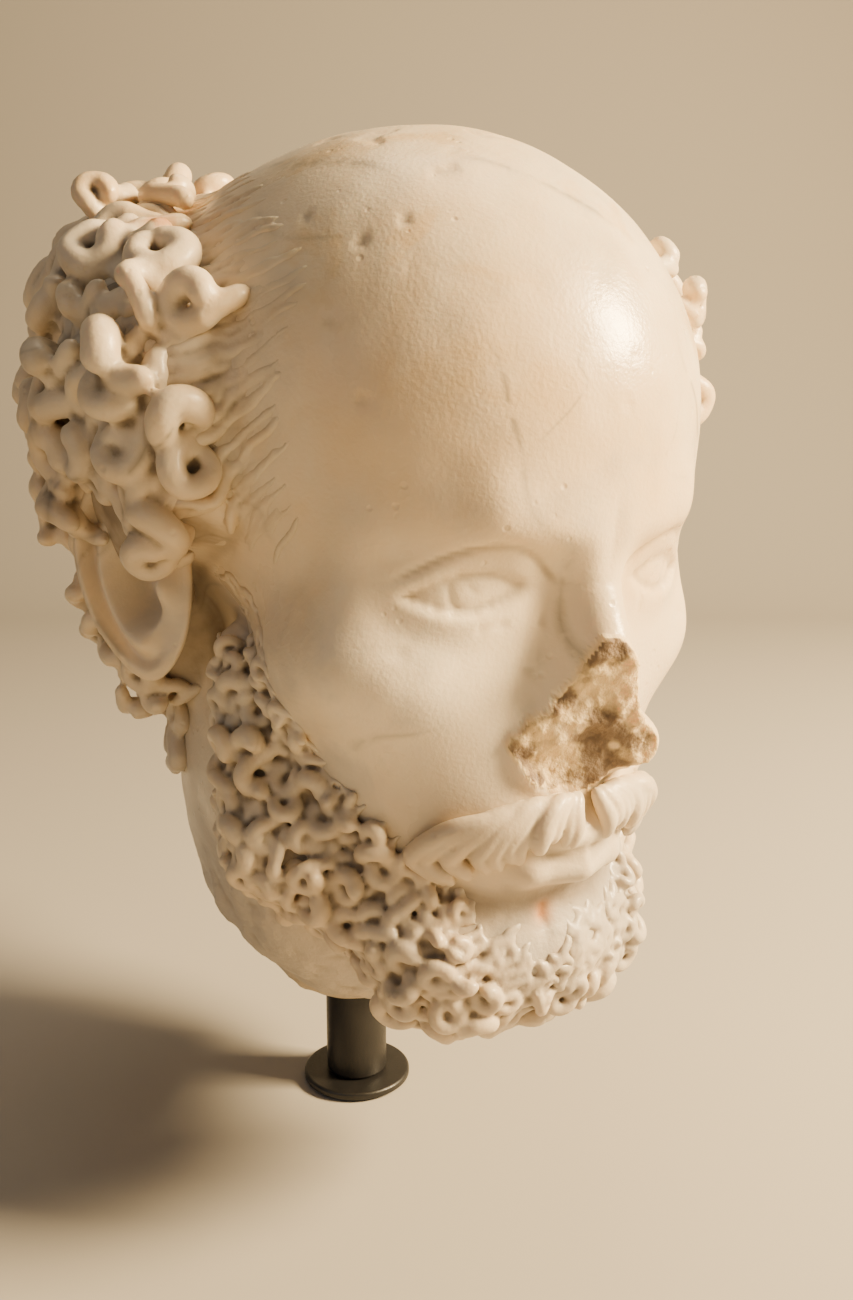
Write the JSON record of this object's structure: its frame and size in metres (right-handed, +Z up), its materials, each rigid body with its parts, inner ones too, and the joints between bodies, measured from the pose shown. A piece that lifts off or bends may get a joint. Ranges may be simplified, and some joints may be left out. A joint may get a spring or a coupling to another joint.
{
  "type": "marble bust",
  "caption": "Over-life-size marble head of a bearded man with a bald crown and drilled curls, broken at the neck, pinned on a round black museum post with a foot collar.",
  "frame": {"origin": "on the post's axis, at the underside of the gasket under the foot collar, where it stands on a plinth", "axes": "+Z up along the post; the face looks along -Y; +X is the head's own left side"},
  "size_m": [0.2572, 0.2844, 0.4174],
  "materials": {
    "marble": "worn polish on the skin, matt in the drilled hair and on the breaks; cream with grey patches and fine dark veins",
    "black_steel": "satin black powder coat",
    "stainless": "turned, unpolished",
    "resin": "cured casting resin, amber",
    "nylon": "turned natural nylon",
    "rubber": "matt sheet rubber"
  },
  "bodies": {
    "mount": {"core_rod": "stainless", "post_tube": "black_steel", "base_collar": "black_steel", "collar_gasket": "rubber", "neck_seat": "black_steel", "seat_cross_pin": "stainless", "lower_centring_ring": "nylon", "upper_centring_ring": "nylon"},
    "swivel": {"bearing_pad": "nylon"},
    "head": {"marble_head": "marble", "sleeve_bedding": "resin", "neck_sleeve": "stainless", "sleeve_plug": "stainless"}
  },
  "joints": [
    {"name": "head_turn", "type": "hinge", "parent": "mount", "child": "swivel", "pos_m": [0, 0, 0.0532], "axis": [0, 0, 1], "continuous": true},
    {"name": "head_lift", "type": "slide", "parent": "swivel", "child": "head", "axis": [0, 0, 1], "range_m": [0, 0.12]}
  ]
}
